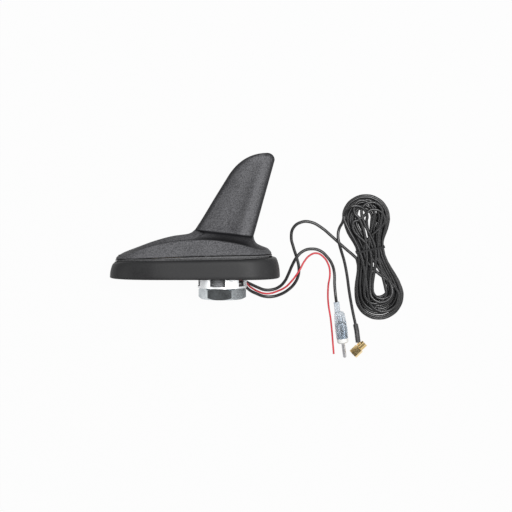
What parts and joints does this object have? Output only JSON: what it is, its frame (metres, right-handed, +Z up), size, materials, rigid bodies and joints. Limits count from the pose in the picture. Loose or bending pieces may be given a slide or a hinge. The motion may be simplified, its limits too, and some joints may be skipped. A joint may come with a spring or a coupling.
{
  "type": "shark fin roof aerial",
  "caption": "Shark fin roof aerial lying on its flank, with its gasket, clamp collar and nut, a radio lead with its plug, a red power wire and a tied hank of satellite lead.",
  "frame": {"origin": "middle of the bottom of the aerial's own box, on the surface it lies on; the leads and what is on them aren't counted", "axes": "+X runs to the aerial's tail, +Y points from the nut to the fin's tip, +Z is up from the surface; the aerial lies on its far flank"},
  "size_m": [0.2651, 0.1891, 0.0657],
  "materials": {
    "fin_cover": "fine grained moulded plastic, dark grey",
    "base_plate": "moulded plastic, dark grey",
    "gasket_skirt": "soft moulded rubber, dark grey",
    "stud_casting": null,
    "stud_seal": "soft black rubber",
    "cable_grommet": "soft black rubber",
    "clamp_collar": "zinc plated, bright",
    "hex_nut": "zinc plated, bright",
    "circuit_board": "glass-fibre board with green solder mask",
    "shield_can": "tinned steel",
    "satellite_patch": "fired ceramic with a silvered face",
    "board_header": "black moulded plastic",
    "fin_board": "glass-fibre board with green solder mask",
    "fin_radiator": null,
    "inner_leads": "black and red lead sheath",
    "cover_screws": "zinc-plated steel",
    "board_screws": "zinc-plated steel",
    "casting_screws": "zinc-plated steel",
    "radio_lead": "soft black lead sheath",
    "power_wire": "soft red wire sheath",
    "satellite_lead": "soft black lead sheath",
    "lead_hank": "soft black lead sheath, in turns",
    "lead_tail": "soft black lead sheath",
    "hank_tie": "black nylon strap",
    "plug_body": "clear moulded plastic, faintly blue",
    "plug_barrel": "nickel-plated steel",
    "plug_ring": "white moulded plastic",
    "plug_pin": "nickel-plated steel",
    "shrink_sleeve": "black heat-shrunk sleeve",
    "connector_elbow": "gold-plated brass",
    "coupling_nut": "gold-plated brass",
    "connector_insulator": "white fluoropolymer",
    "connector_pin": "gold-plated brass"
  },
  "bodies": {
    "root": {"fin_cover": "fin_cover", "base_plate": "base_plate", "gasket_skirt": "gasket_skirt", "stud_casting": "stud_casting", "stud_seal": "stud_seal", "cable_grommet": "cable_grommet", "clamp_collar": "clamp_collar", "hex_nut": "hex_nut", "circuit_board": "circuit_board", "shield_can": "shield_can", "satellite_patch": "satellite_patch", "board_header": "board_header", "fin_board": "fin_board", "fin_radiator": "fin_radiator", "inner_leads": "inner_leads", "cover_screws": "cover_screws", "board_screws": "board_screws", "casting_screws": "casting_screws", "radio_lead": "radio_lead", "power_wire": "power_wire", "satellite_lead": "satellite_lead", "lead_hank": "lead_hank", "lead_tail": "lead_tail", "hank_tie": "hank_tie", "plug_body": "plug_body", "plug_barrel": "plug_barrel", "plug_ring": "plug_ring", "plug_pin": "plug_pin", "shrink_sleeve": "shrink_sleeve", "connector_elbow": "connector_elbow", "coupling_nut": "coupling_nut", "connector_insulator": "connector_insulator", "connector_pin": "connector_pin"}
  },
  "joints": []
}
